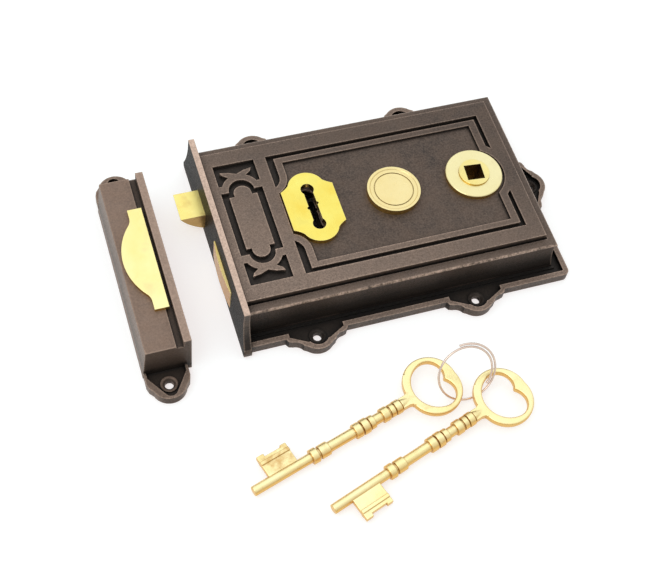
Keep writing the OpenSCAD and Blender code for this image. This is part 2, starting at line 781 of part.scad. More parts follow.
module shouldered_post(r, shoulder_top) {
    translate([0, 0, plate_t + run_gap]) cylinder(h = ceil_z + socket_d - plate_t - 2 * run_gap, r = r);
    translate([0, 0, plate_t + run_gap])
        cylinder(h = shoulder_top - plate_t - 2 * run_gap, r = shoulder_r);
}

module latch_guide_post() {
    color(steel) translate([guide_x, guide_y, 0]) shouldered_post(guide_r, tail_z);
}

module dead_bolt_head() {
    crown_r = sag_r(bolt_w, bolt_crown);
    color(brass) difference() {
        translate([0, bolt_y, bolt_z]) linear_extrude(bolt_h) intersection() {
            translate([bolt_tip_x, -bolt_w / 2]) square([bolt_back_x - bolt_tip_x, bolt_w]);
            translate([bolt_tip_x + crown_r, 0]) circle(crown_r, $fn = 240);
        }
        translate([bolt_back_x - tongue_l - seat_gap, bar_y0 - seat_gap, bar_z - seat_gap])
            cube([tongue_l + past, bar_y1 - bar_y0 + 2 * seat_gap, bar_t + 2 * seat_gap]);
    }
}

// Tail with the talon that the key turns and the slot that rides on the lever pivot
module dead_bolt_tail() {
    tongue_y0 = max(bar_y0, bolt_y - bolt_w / 2);
    color(steel) translate([0, 0, bar_z]) linear_extrude(bar_t) difference() {
        union() {
            translate([bolt_back_x + slide_gap, bar_y0])
                square([bar_end_x - bolt_back_x - slide_gap, bar_y1 - bar_y0]);
            translate([bolt_back_x - tongue_l, tongue_y0])
                square([tongue_l + past, bar_y1 - tongue_y0]);
        }
        translate([talon_x - talon_w / 2, bar_y1 - talon_d]) square([talon_w, talon_d + past]);
        translate([pivot_x, pivot_y]) circle(pivot_r + run_gap);
        translate([pivot_x, pivot_y - pivot_r - run_gap])
            square([bolt_throw, 2 * (pivot_r + run_gap)]);
        translate([pivot_x + bolt_throw, pivot_y]) circle(pivot_r + run_gap);
        translate([pivot_x - stump_dx, pivot_y - stump_drop]) circle(stump_r + seat_gap);
    }
}

module bolt_stump() {
    color(steel) translate([pivot_x - stump_dx, pivot_y - stump_drop, bar_z])
        cylinder(h = stump_top - bar_z, r = stump_r);
}

// Lever with its belly over the key's path, its two pockets and the gate between them
module lever_outline(lift) {
    low = -stump_drop - stump_r - pocket_gap;
    gate_low = stump_up(gate_in - stump_dx, lift) - stump_r - pocket_gap;
    gate_top = stump_up(gate_out - stump_dx, lift) + stump_r + pocket_gap;
    difference() {
        union() {
            circle(hub_r);
            polygon([[0, hub_r], [-12, lever_top], [-lever_l + 1.5, lever_top], [-lever_l, lever_top - 2],
                [-lever_l, lever_low + 3], [-lever_l + 2.5, lever_low], [-8, lever_low], [0, -hub_r]]);
        }
        circle(pivot_r + run_gap);
        translate([kh_x - pivot_x, stem_y - pivot_y]) circle(belly_r);
        translate([-gate_in, low]) square([gate_in - stump_dx + stump_r + pocket_gap, pocket_top - low]);
        translate([-stump_dx - bolt_throw - stump_r - pocket_gap, low])
            square([stump_dx + bolt_throw + stump_r + pocket_gap - gate_out, pocket_top - low]);
        translate([-gate_out - 0.1, gate_low]) square([gate_out - gate_in + 0.2, gate_top - gate_low]);
    }
}

module lever(i, lift) {
    color(brass) translate([pivot_x, pivot_y, lever_z[i]]) linear_extrude(lever_t) lever_outline(lift);
}

module lever_1() {
    lever(0, lift_1);
}

module lever_2() {
    lever(1, lift_2);
}

// Leaf spring from a lever's lower edge to the case wall
module lever_leaf(i) {
    color(steel) translate([pivot_x, pivot_y, lever_z[i] + 0.2]) linear_extrude(lever_t - 0.4)
        polygon([[-leaf_root + 1, lever_low], [-leaf_root + 1, lever_low - leaf_t],
            [-leaf_root - leaf_len, lever_low - leaf_drop - leaf_t],
            [-leaf_root - leaf_len, lever_low - leaf_drop], [-leaf_root, lever_low]]);
}

module lever_1_spring() {
    lever_leaf(0);
}

module lever_2_spring() {
    lever_leaf(1);
}

module lever_pivot() {
    color(steel) translate([pivot_x, pivot_y, 0]) {
        shouldered_post(pivot_r, bar_z);
        translate([0, 0, lever_z[1] + lever_t + run_gap]) cylinder(h = 1, r = shoulder_r);
    }
}

// Lug on the end of the keep's box
module keep_lug_outline(back) {
    r = keep_lug_r;
    hw = keep_lug_hw;
    translate([0, keep_hole_out]) circle(r);
    polygon([[-hw, -back], [-hw, keep_hole_out - 1.4], [-hw + 0.7, keep_hole_out + 0.8],
        [-r * 0.9, keep_hole_out + r * 0.4], [r * 0.9, keep_hole_out + r * 0.4],
        [hw - 0.7, keep_hole_out + 0.8], [hw, keep_hole_out - 1.4], [hw, -back]]);
}

// Sunk floor of a keep lug: a triangle with a rounded tip
module keep_lug_floor() {
    tip_r = 2.9;
    tip_y = keep_hole_out + keep_lug_r - tip_r - 1.3;
    hw = keep_lug_hw - 1.1;
    translate([0, tip_y]) circle(tip_r);
    polygon([[-hw, 0.01], [-hw, 3], [-tip_r * 0.84, tip_y + tip_r * 0.54],
        [tip_r * 0.84, tip_y + tip_r * 0.54], [hw, 3], [hw, 0.01]]);
}

module at_keep_lugs() {
    for (s = [0, 1]) translate([keep_lug_x, keep_shift + (1 - 2 * s) * keep_l / 2, 0])
        mirror([0, s]) children();
}

// Box keep, open towards the bolts and at its back, with the ridge over its mouth
module keep_case() {
    groove_x1 = keep_x1 - ridge_w;
    color(iron) difference() {
        union() {
            translate([0, keep_shift + keep_l / 2, 0]) rotate([90, 0, 0]) linear_extrude(keep_l) polygon([
                [keep_x0, 0], [keep_x1, 0], [keep_x1, keep_h + ridge_up], [groove_x1, keep_h + ridge_up],
                [groove_x1, keep_h - ridge_groove_d], [groove_x1 - ridge_groove_w, keep_h - ridge_groove_d],
                [groove_x1 - ridge_groove_w, keep_h], [keep_x0 + keep_slope, keep_h]]);
            difference() {
                at_keep_lugs() linear_extrude(keep_rim_h) keep_lug_outline(1);
                at_keep_lugs() translate([0, 0, keep_floor]) linear_extrude(keep_rim_h) keep_lug_floor();
            }
            at_keep_lugs() translate([0, keep_hole_out, 0])
                cylinder(h = lug_boss_z, r = lug_boss_r);
        }
        translate([keep_x0 + keep_wall, keep_shift - keep_l / 2 + keep_end_wall, -past])
            cube([keep_w, keep_l - 2 * keep_end_wall, keep_h - keep_top_t + past]);
        at_keep_lugs() translate([0, keep_hole_out, 0]) {
            translate([0, 0, -past]) cylinder(h = rim_h, d = screw_hole_d);
            translate([0, 0, csk_z])
                cylinder(h = lug_boss_z - csk_z, d1 = screw_hole_d, d2 = screw_csk_d);
        }
        for (s = [1, -1])
            translate([strike_x1 - strike_end_w / 2 - 2, keep_shift + strike_y + s * strike_pin_y, 0])
                cylinder(h = keep_h, r = strike_pin_r + seat_gap);
    }
}

// Bow-shaped strike, straight along the ridge
module strike_outline() {
    arc_x = -strike_w + strike_arc;
    fx = -strike_end_w - strike_fillet;
    fy = sqrt(pow(strike_arc + strike_fillet, 2) - pow(arc_x - fx, 2));
    touch = [arc_x, 0] + ([fx, fy] - [arc_x, 0]) * strike_arc / (strike_arc + strike_fillet);
    translate([-strike_end_w, -strike_l / 2]) square([strike_end_w, strike_l]);
    intersection() {
        translate([-strike_w, -strike_l / 2]) square([strike_w, strike_l]);
        translate([arc_x, 0]) circle(strike_arc, $fn = 180);
    }
    for (s = [0, 1]) mirror([0, s]) difference() {
        polygon([[-strike_end_w, fy], touch, [-strike_end_w + 1, touch[1]], [-strike_end_w + 1, fy]]);
        translate([fx, fy]) circle(strike_fillet);
    }
}

module keep_strike() {
    color(brass) translate([strike_x1, keep_shift + strike_y, 0]) {
        translate([0, 0, keep_h]) linear_extrude(strike_t) strike_outline();
        for (s = [1, -1]) translate([-strike_end_w / 2 - 2, s * strike_pin_y, keep_h - keep_top_t - 0.5])
            cylinder(h = keep_top_t + 0.6, r = strike_pin_r);
    }
}

// Bow with an oval outline and a heart-shaped opening, about its own middle
module bow_outline() {
    touch = eye_x + eye_r * (lobe_shift - eye_x) / (eye_r - lobe_r);
    difference() {
        union() {
            for (s = [1, -1]) translate([0, s * bow_spread]) circle(bow_r);
            polygon([[-bow_r - neck_l, -neck_w / 2], [-bow_r - 1.4, -neck_w / 2],
                [-bow_r + 0.2, -neck_w / 2 - 0.5], [-bow_r + 1.4, -neck_w / 2 - 2.2],
                [-bow_r + 1.4, neck_w / 2 + 2.2], [-bow_r + 0.2, neck_w / 2 + 0.5],
                [-bow_r - 1.4, neck_w / 2], [-bow_r - neck_l, neck_w / 2]]);
        }
        for (s = [1, -1]) translate([lobe_shift, s * lobe_spread]) circle(lobe_r);
        intersection() {
            translate([eye_x, 0]) circle(eye_r);
            translate([-eye_r, -eye_r]) square([eye_r + touch, 2 * eye_r]);
        }
    }
}

// Bit with a stepped end and a rib on each face, about the stem's axis
module bit() {
    translate([bit_start, 0, -bit_t / 2]) linear_extrude(bit_t) polygon([[0, 0], [bit_l, 0],
        [bit_l, bit_reach - 0.5], [bit_l - 2.8, bit_reach - 0.5], [bit_l - 2.8, bit_reach - 1.3],
        [3.4, bit_reach - 1.3], [3.4, bit_reach], [0, bit_reach]]);
    rib_in = keyhole_pitch / 2 + notch_left_y - rib_w / 2;
    translate([bit_start, rib_in, -bit_t / 2 - rib_h]) cube([bit_l, rib_w, bit_t / 2]);
    translate([bit_start, rib_in - notch_right_y - notch_left_y, 0])
        cube([bit_l, rib_w, bit_t / 2 + rib_h]);
}

// Whole key along +X from its tip, bit towards +Y
module key_body() {
    bow_x0 = key_l - bow_r;
    neck_x0 = bow_x0 - neck_l;
    rotate([0, 90, 0]) cylinder(h = neck_x0, d = stem_d);
    translate([neck_x0, 0, 0]) rotate([0, 90, 0])
        cylinder(h = neck_l + 0.8, d1 = neck_w, d2 = bow_t - 0.2);
    translate([thick_from, 0, 0]) rotate([0, 90, 0])
        cylinder(h = thick_to - thick_from, d = stem_d + 2 * thick_add);
    for (c = collars) translate([c[0], 0, 0]) rotate([0, 90, 0]) cylinder(h = c[1], d = collar_d * c[2]);
    translate([key_l, 0, -bow_t / 2]) linear_extrude(bow_t) bow_outline();
    bit();
}

// Key laid on the table: tip place, turn in plan, bit side
module laid_key(tip, turn, side) {
    color(brass) translate([tip[0], tip[1], key_rest_z]) rotate(turn)
        translate([rest_collar_s, 0, 0]) rotate([0, -key_pitch_up, 0]) translate([-rest_collar_s, 0, 0])
            mirror([0, side]) key_body();
}

module key_1() {
    laid_key(key_1_tip, key_1_turn, 0);
}

module key_2() {
    laid_key(key_2_tip, key_2_turn, 1);
}

// Wire ring whose two ends lap past each other
module key_ring() {
    step = ring_wire_d + ring_self_gap;
    path = [for (t = [0:15:360 * ring_turns]) spiral(t, ring_r - step * ring_turns / 2, step)];
    echo(key_ring_gap = self_gap(path, 12) - ring_wire_d);
    color(steel) translate(ring_at) rotate([ring_tilt, 0, 0]) rotate(ring_start)
        tube(path, ring_wire_d / 2, [0, 0, 1]);
}

case();
back_plate();
back_plate_screws();
keyhole_escutcheon();
round_plate();
spindle_rose();
follower();
latch_head();
latch_tail();
latch_stud();
latch_spring();
latch_guide_post();
dead_bolt_head();
dead_bolt_tail();
bolt_stump();
lever_1();
lever_2();
lever_1_spring();
lever_2_spring();
lever_pivot();
keep_case();
keep_strike();
key_1();
key_2();
key_ring();
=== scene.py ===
import json
import math
import bmesh
import bpy
from mathutils import Matrix, Vector

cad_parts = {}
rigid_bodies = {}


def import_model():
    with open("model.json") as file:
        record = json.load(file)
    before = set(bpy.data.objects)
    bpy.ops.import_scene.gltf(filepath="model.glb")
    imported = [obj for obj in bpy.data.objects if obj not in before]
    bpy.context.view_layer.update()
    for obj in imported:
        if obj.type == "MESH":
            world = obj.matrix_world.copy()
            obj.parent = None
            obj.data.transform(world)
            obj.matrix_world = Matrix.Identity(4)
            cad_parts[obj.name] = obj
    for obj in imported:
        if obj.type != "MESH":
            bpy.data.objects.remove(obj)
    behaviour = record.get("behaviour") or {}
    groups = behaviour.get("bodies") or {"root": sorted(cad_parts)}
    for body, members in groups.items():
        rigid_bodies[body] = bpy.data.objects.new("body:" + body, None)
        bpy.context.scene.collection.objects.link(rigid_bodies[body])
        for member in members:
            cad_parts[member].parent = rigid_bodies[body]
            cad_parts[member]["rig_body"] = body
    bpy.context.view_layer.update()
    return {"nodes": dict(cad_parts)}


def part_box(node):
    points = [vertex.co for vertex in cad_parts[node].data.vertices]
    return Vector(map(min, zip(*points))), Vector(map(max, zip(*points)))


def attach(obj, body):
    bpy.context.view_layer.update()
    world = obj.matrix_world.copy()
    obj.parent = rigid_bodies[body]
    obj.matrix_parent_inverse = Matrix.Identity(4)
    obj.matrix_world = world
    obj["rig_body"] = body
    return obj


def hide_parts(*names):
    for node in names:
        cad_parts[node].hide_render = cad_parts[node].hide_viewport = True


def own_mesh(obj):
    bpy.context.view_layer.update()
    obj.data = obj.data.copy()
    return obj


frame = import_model()
nodes = frame["nodes"]
scene = bpy.context.scene
mm = 0.001  # lengths below are in millimetres, noise scales are per metre
fullTurn = 360  # degrees
print("frame loaded")


def plug(tree, socket, value):
    if isinstance(value, bpy.types.NodeSocket):
        tree.links.new(value, socket)
    else:
        socket.default_value = value


def addNode(tree, kind, settings=None, **inputs):
    node = tree.nodes.new(kind)
    for key, value in (settings or {}).items():
        setattr(node, key, value)
    for key, value in inputs.items():
        plug(tree, node.inputs[key.replace("_", " ")], value)
    return node


def newMaterial(name):
    material = bpy.data.materials.new(name)
    material.use_nodes = True
    tree = material.node_tree
    return material, tree, tree.nodes["Principled BSDF"]


def addPiece(name, data):
    piece = bpy.data.objects.new(name, data)
    scene.collection.objects.link(piece)
    return piece


def objectPlace(tree):
    return addNode(tree, "ShaderNodeTexCoord").outputs["Object"]


def ramp(tree, source, span, to=(0.0, 1.0)):
    # spreads a span of values to another and holds the ends
    node = addNode(tree, "ShaderNodeMapRange", {"clamp": True}, Value=source,
                   From_Min=span[0], From_Max=span[1], To_Min=to[0], To_Max=to[1])
    return node.outputs["Result"]


def noise(tree, look):
    place = addNode(tree, "ShaderNodeMapping", Vector=objectPlace(tree), Scale=look.get("stretch", (1, 1, 1)))
    texture = addNode(tree, "ShaderNodeTexNoise", Vector=place.outputs["Vector"], Scale=look["scale"],
                      Detail=look["detail"], Roughness=look["roughness"])
    return texture.outputs["Fac"]


def grain(tree, look):
    return ramp(tree, noise(tree, look), look["span"])


def blendColour(tree, factor, first, second):
    node = addNode(tree, "ShaderNodeMix", {"data_type": "RGBA"}, Factor=factor, A=first, B=second)
    return node.outputs["Result"]


def maths(tree, operation, first, second):
    node = addNode(tree, "ShaderNodeMath", {"operation": operation, "use_clamp": True})
    plug(tree, node.inputs[0], first)
    plug(tree, node.inputs[1], second)
    return node.outputs["Value"]


def times(tree, first, second):
    return maths(tree, "MULTIPLY", first, second)


def rest(tree, mask):
    return maths(tree, "SUBTRACT", 1.0, mask)


def vectorMaths(tree, operation, first, second):
    node = addNode(tree, "ShaderNodeVectorMath", {"operation": operation})
    plug(tree, node.inputs[0], first)
    plug(tree, node.inputs[1], second)
    return node.outputs["Value"]


def above(tree, value, start, ease):
    # 0 before the start and 1 past it; a negative ease turns it round
    return ramp(tree, value, (start * mm, (start + ease) * mm))


def slab(tree, height, look):
    # 1 between two heights, fading over the ease
    rise = above(tree, height, look["low"], look["ease"])
    return times(tree, rise, above(tree, height, look["high"], -look["ease"]))


def facing(tree, look):
    # 1 where the surface faces along the direction, in the piece's own axes
    normal = addNode(tree, "ShaderNodeTexCoord").outputs["Normal"]
    return ramp(tree, vectorMaths(tree, "DOT_PRODUCT", normal, look["towards"]), look["span"])


def cornerMask(tree, look, inside=False):
    # 1 in a corner, 0 on open surface; inside finds the outer edges instead
    node = addNode(tree, "ShaderNodeAmbientOcclusion", {"inside": inside, "only_local": True, "samples": 8},
                   Distance=look["reach"] * mm)
    return ramp(tree, rest(tree, node.outputs["AO"]), look["span"])


def skin(tree, shader, height, look):
    # fine relief, and edges shaded as if they were rounded
    rounded = addNode(tree, "ShaderNodeBevel", {"samples": 6}, Radius=look["edge"] * mm)
    relief = addNode(tree, "ShaderNodeBump", Strength=look["strength"], Distance=look["depth"] * mm,
                     Height=height, Normal=rounded.outputs["Normal"])
    plug(tree, shader.inputs["Normal"], relief.outputs["Normal"])


def castIron(look):
    material, tree, shader = newMaterial(look["material"])
    spot = objectPlace(tree)
    place = addNode(tree, "ShaderNodeSeparateXYZ", Vector=spot)
    height = place.outputs["Z"]
    up = facing(tree, look["tops"])
    corner = cornerMask(tree, look["creaseShade"])
    hollowShade = cornerMask(tree, look["hollowShade"])
    ends = times(tree, facing(tree, look["ends"]), look["ends"]["share"])
    grit = grain(tree, look["grit"])
    rub = grain(tree, look["rub"])

    # cloudy iron with rust in patches and dust in the grit
    patch = times(tree, grain(tree, look["patch"]), look["patch"]["share"])
    body = blendColour(tree, grain(tree, look["cloud"]), look["dark"], look["mid"])
    body = blendColour(tree, patch, body, look["rust"])
    body = blendColour(tree, times(tree, grit, look["grit"]["share"]), body, look["dust"])

    # painted shade: black in the hollows, at the walls' foot, on the sunk floors, low on the walls and on the
    # end face
    foot = look["foot"]
    wall = look["wall"]
    low = ramp(tree, height, (wall["top"] * mm, wall["foot"] * mm))
    low = times(tree, times(tree, low, wall["share"]), above(tree, height, wall["rim"], wall["ease"]))
    shades = [times(tree, hollowShade, look["hollowShade"]["share"]),
              times(tree, slab(tree, height, foot), ramp(tree, hollowShade, foot["span"], (0.0, foot["share"])))]
    for sunk in look["sunk"]:
        shades.append(times(tree, times(tree, slab(tree, height, sunk), sunk["share"]), up))
    shades.append(times(tree, low, rest(tree, up)))
    shades.append(ends)
    for shade in shades:
        body = blendColour(tree, shade, body, look["black"])

    # the raised lip is rubbed to bare metal
    lip = look["lipRub"]
    rubbed = times(tree, above(tree, height, lip["from"], lip["ease"]), lip["share"])
    rubbed = times(tree, rubbed, ramp(tree, grit, (0, 1), (lip["least"], 1)))
    body = blendColour(tree, rubbed, body, look["lip"])

    # edges are worn bright, but not down in the trough
    wearAndHighlight = times(tree, cornerMask(tree, look["wear"], True), times(tree, rub, look["wear"]["share"]))
    wearAndHighlight = times(tree, wearAndHighlight, rest(tree, slab(tree, height, look["trough"])))
    # the tops of the mouldings are worn bright too, and painted lighter towards the near corner than the far
    # one, as if lit from there
    across = vectorMaths(tree, "DOT_PRODUCT", spot, look["nearLight"]["towards"])
    reach = [edge * mm for edge in look["nearLight"]["reach"]]
    for band in look["bands"]:
        share = ramp(tree, across, reach, (band["near"], band["far"]))
        tops = times(tree, slab(tree, height, band), times(tree, up, share))
        wearAndHighlight = maths(tree, "ADD", wearAndHighlight, times(tree, tops, rub))
    # painted highlight: a bright glint along the bead's rounded outer edge, away from the forend
    for highlight in look["beadGlints"]:
        beyond = times(tree, above(tree, place.outputs["X"], highlight["from"], highlight["ease"]), highlight["share"])
        glint = times(tree, times(tree, slab(tree, height, highlight), beyond), grain(tree, look["glint"]))
        wearAndHighlight = maths(tree, "ADD", wearAndHighlight, glint)
    body = blendColour(tree, times(tree, wearAndHighlight, rest(tree, corner)), body, look["bright"])
    # painted shade: the creases go towards black
    body = blendColour(tree, times(tree, corner, look["creaseShade"]["share"]), body, look["black"])

    # the shaded end face also gets less metal and shine, as part of its painted shade
    unshaded = rest(tree, ends)
    plug(tree, shader.inputs["Base Color"], body)
    plug(tree, shader.inputs["Roughness"], ramp(tree, grit, (0, 1), look["rough"]))
    plug(tree, shader.inputs["Metallic"], times(tree, unshaded, look["metal"]))
    plug(tree, shader.inputs["Specular IOR Level"], times(tree, unshaded, look["shine"]))
    skin(tree, shader, noise(tree, look["cast"]), look["skin"])
    return material


def filedMetal(look):
    # brass or steel with file lines, brown spots and bright edges, with painted shade on chosen sides and in
    # the corners
    material, tree, shader = newMaterial(look["material"])
    lines = noise(tree, look["lines"])
    spots = times(tree, grain(tree, look["spots"]), look["spots"]["share"])
    body = blendColour(tree, grain(tree, look["cloud"]), look["first"], look["second"])
    body = blendColour(tree, spots, body, look["brown"])
    # painted shade: faces turned one way take a darker tint
    for side in look["sides"]:
        body = blendColour(tree, times(tree, facing(tree, side), side["share"]), body, side["tint"])
    if "stain" in look:
        stain = look["stain"]
        away = vectorMaths(tree, "DISTANCE", objectPlace(tree), Vector(stain["at"]) * mm)
        near = times(tree, ramp(tree, away, (stain["reach"] * mm, stain["full"] * mm)), stain["share"])
        body = blendColour(tree, times(tree, near, grain(tree, stain)), body, look["brown"])
    edge = times(tree, cornerMask(tree, look["edge"], True), look["edge"]["share"])
    body = blendColour(tree, edge, body, look["bright"])
    # painted shade in the corners
    corner = times(tree, cornerMask(tree, look["corner"]), look["corner"]["share"])
    body = blendColour(tree, corner, body, look["deep"])
    plug(tree, shader.inputs["Base Color"], body)
    plug(tree, shader.inputs["Roughness"], ramp(tree, lines, look["lines"]["span"], look["rough"]))
    plug(tree, shader.inputs["Metallic"], look["metal"])
    skin(tree, shader, lines, look["skin"])
    return material


def dress(node, material):
    mesh = nodes[node].data
    mesh.materials.clear()
    mesh.materials.append(material)


def standIn(piece, node):
    # the piece moves with the solid's body and shows in its place
    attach(piece, nodes[node]["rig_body"])
    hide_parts(node)


def smoothCopy(node, look, roundOf, material):
    # a copy of the solid with its sharp outer edges rounded
    mesh = bpy.data.meshes.new(look["name"])
    work = bmesh.new()
    work.from_mesh(nodes[node].data)
    bmesh.ops.remove_doubles(work, verts=work.verts, dist=look["weld"] * mm)
    sizes = {}
    for edge in work.edges:
        outer = len(edge.link_faces) == 2 and edge.is_convex
        if outer and edge.calc_face_angle(0) > math.radians(look["sharp"]):
            sizes.setdefault(roundOf(edge), []).append(edge)
    for size, edges in sizes.items():
        left = [edge for edge in edges if edge.is_valid]
        bmesh.ops.bevel(work, geom=left, offset=size * mm, offset_type="OFFSET", segments=look["steps"],
                        profile=0.5, affect="EDGES", clamp_overlap=False, material=-1)
    work.to_mesh(mesh)
    work.free()
    mesh.attributes.remove(mesh.attributes["custom_normal"])  # the solid's own shading
    mesh.materials.clear()
    mesh.materials.append(material)
    mesh.shade_smooth()
    mesh.set_sharp_from_angle(angle=math.radians(look["crease"]))
    piece = addPiece(look["name"], mesh)
    even = piece.modifiers.new("even", "WEIGHTED_NORMAL")
    even.keep_sharp = True
    standIn(piece, node)
    return piece


def wireTube(node, look, points, material):
    curve = bpy.data.curves.new(look["name"], "CURVE")
    curve.dimensions = "3D"
    curve.bevel_depth = look["wire"] / 2 * mm
    curve.bevel_resolution = look["resolution"]
    curve.use_fill_caps = True
    spline = curve.splines.new("POLY")
    spline.points.add(len(points) - 1)
    for spot, point in zip(spline.points, points):
        spot.co = (*(point * mm), 1)
    spline.use_smooth = True
    curve.materials.append(material)
    drawn = bpy.data.objects.new(look["name"] + "Path", curve)
    piece = addPiece(look["name"], bpy.data.meshes.new_from_object(drawn))
    bpy.data.objects.remove(drawn)
    standIn(piece, node)
    return piece


# the case: dark cast iron, its mouldings worn bright, with painted shade in its hollows and a painted
# highlight along its bead
caseLook = {
    "material": "iron",
    "dark": (0.039, 0.033, 0.030, 1),
    "mid": (0.086, 0.065, 0.052, 1),
    "rust": (0.118, 0.079, 0.057, 1),
    "dust": (0.172, 0.130, 0.106, 1),
    "bright": (0.72, 0.54, 0.43, 1),
    "lip": (0.70, 0.53, 0.43, 1),
    "black": (0.006, 0.0055, 0.005, 1),
    "cloud": {"scale": 40, "detail": 6, "roughness": 0.55, "span": (0.3, 0.7)},
    "patch": {"scale": 150, "detail": 5, "roughness": 0.6, "span": (0.32, 0.70), "share": 0.5},
    "grit": {"scale": 1200, "detail": 3, "roughness": 0.75, "span": (0.36, 0.66), "share": 0.55},
    "rub": {"scale": 1600, "detail": 4, "roughness": 0.75, "span": (0.25, 0.75)},
    "glint": {"scale": 500, "detail": 5, "roughness": 0.8, "span": (0.38, 0.62)},
    "cast": {"scale": 1500, "detail": 4, "roughness": 0.65},
    "tops": {"towards": (0, 0, 1), "span": (0.5, 0.9)},  # how level a face is to count as a top
    # painted shade on the forend's outer face
    "ends": {"towards": (-1, 0, 0), "span": (0.6, 0.9), "share": 0.85},  # the forend's outer face
    # painted shade in the wide hollows
    "hollowShade": {"reach": 5, "span": (0.04, 0.45), "share": 0.4},
    # painted shade at the foot of the walls
    "foot": {"low": 2.2, "high": 7.0, "ease": 0.5, "span": (0.05, 0.5), "share": 0.75},
    # painted shade on the sunk floors
    "sunk": (  # floors of the panels and of the trough
        {"low": 21.15, "high": 21.7, "ease": 0.1, "share": 0.72},
        {"low": 2.2, "high": 3.8, "ease": 0.1, "share": 0.75},
    ),
    # painted shade, darker down the walls
    "wall": {"top": 18.5, "foot": 9.5, "share": 0.78, "rim": 4.7, "ease": 0.3},  # not below the rim's top
    "lipRub": {"from": 25.6, "ease": 0.3, "share": 1.0, "least": 0.6},  # least is for the smooth spots
    "wear": {"reach": 1.1, "span": (0.2, 0.5), "share": 0.6},
    "trough": {"low": 2.4, "high": 4.4, "ease": 0.2},
    # painted light: the worn tops are lighter towards the near corner
    "nearLight": {"towards": (0.5, 0.86, 0), "reach": (-50, 30)},
    "bands": (  # the bead, the flange's rim and the face
        {"low": 18.9, "high": 21.1, "ease": 0.3, "near": 0.14, "far": 0.06},
        {"low": 4.2, "high": 5.2, "ease": 0.3, "near": 0.42, "far": 0.3},
        {"low": 23.1, "high": 24.2, "ease": 0.3, "near": 0.36, "far": 0.0},
    ),
    # painted highlight along the bead
    "beadGlints": ({"low": 19.3, "high": 20.75, "ease": 0.3, "from": -73.0, "share": 0.8},),
    # painted shade in the creases
    "creaseShade": {"reach": 1.8, "span": (0.14, 0.55), "share": 0.95},
    "rough": (0.52, 0.36),
    "metal": 0.3,
    "shine": 0.25,
    "skin": {"strength": 0.4, "depth": 0.3, "edge": 0.3},
}
dress("case", castIron(caseLook))

# the keep: the same casting, browner and less rubbed
keepLook = {
    **caseLook,
    "material": "ironKeep",
    "dark": (0.134, 0.101, 0.082, 1),
    "mid": (0.215, 0.157, 0.125, 1),
    "rust": (0.205, 0.134, 0.095, 1),
    "dust": (0.295, 0.208, 0.158, 1),
    # painted shade on the keep's near face
    "ends": {"towards": (0, -1, 0), "span": (0.6, 0.9), "share": 0.5},
    # painted shade on the keep's sunk floors
    "sunk": (
        {"low": 18.8, "high": 19.8, "ease": 0.1, "share": 0.6},
        {"low": 1.8, "high": 2.8, "ease": 0.1, "share": 0.8},
        {"low": 4.0, "high": 5.2, "ease": 0.1, "share": 0.45},
    ),
    # painted shade, darker down the keep's walls
    "wall": {"top": 17.0, "foot": 4.0, "share": 0.6, "rim": 4.6, "ease": 0.3},
    "lipRub": {"from": 23.2, "ease": 0.3, "share": 0.3, "least": 0.6},
    "bands": ({"low": 4.2, "high": 5.0, "ease": 0.3, "near": 0.2, "far": 0.2},),
    "beadGlints": (),
    "skin": {"strength": 0.4, "depth": 0.3, "edge": 0.5},
}
dress("keep_case", castIron(keepLook))
print("castings dressed")

# the brass plates on the face; the other metals start from this one
plateLook = {
    "material": "brass",
    "first": (0.84, 0.66, 0.11, 1),
    "second": (0.89, 0.84, 0.22, 1),
    "brown": (0.50, 0.32, 0.07, 1),
    "bright": (0.95, 0.88, 0.47, 1),
    "deep": (0.22, 0.12, 0.025, 1),
    "cloud": {"scale": 60, "detail": 4, "roughness": 0.55, "span": (0.3, 0.7)},
    "lines": {"scale": 300, "detail": 3, "roughness": 0.6, "stretch": (6, 1, 1), "span": (0.3, 0.7)},
    "spots": {"scale": 120, "detail": 5, "roughness": 0.55, "span": (0.55, 0.75), "share": 0.2},
    # painted shade: the plates' sides and undersides take a darker tint
    "sides": ({"towards": (0, 0, -1), "span": (-0.8, -0.4), "tint": (0.66, 0.41, 0.09, 1), "share": 0.85},),
    "edge": {"reach": 0.6, "span": (0.25, 0.6), "share": 0.5},
    # painted shade in the corners
    "corner": {"reach": 1.2, "span": (0.12, 0.55), "share": 0.85},
    "rough": (0.26, 0.38),
    "metal": 1.0,
    "skin": {"strength": 0.05, "depth": 0.2, "edge": 0.2},
}
dress("keyhole_escutcheon", filedMetal(plateLook))

discLook = {
    **plateLook,
    "material": "brassDisc",
    "first": (0.84, 0.71, 0.34, 1),
    "second": (0.91, 0.81, 0.45, 1),
}
dress("round_plate", filedMetal(discLook))

roseLook = {
    **plateLook,
    "material": "brassPale",
    "first": (0.86, 0.79, 0.42, 1),
    "second": (0.91, 0.86, 0.52, 1),
}
dress("spindle_rose", filedMetal(roseLook))

# the follower is seen down the rose's hole, so its corners are painted black as shade
followerLook = {
    **plateLook,
    "material": "brassFollower",
    "first": (0.88, 0.76, 0.28, 1),
    "second": (0.93, 0.84, 0.40, 1),
    "deep": (0.02, 0.013, 0.006, 1),
    "corner": {**plateLook["corner"], "reach": 8, "share": 1.0},
}
dress("follower", filedMetal(followerLook))

strikeLook = {
    **plateLook,
    "material": "brassStrike",
    "first": (0.90, 0.78, 0.30, 1),
    "second": (0.94, 0.88, 0.46, 1),
    "rough": (0.18, 0.26),
}
dress("keep_strike", filedMetal(strikeLook))
print("plates dressed")

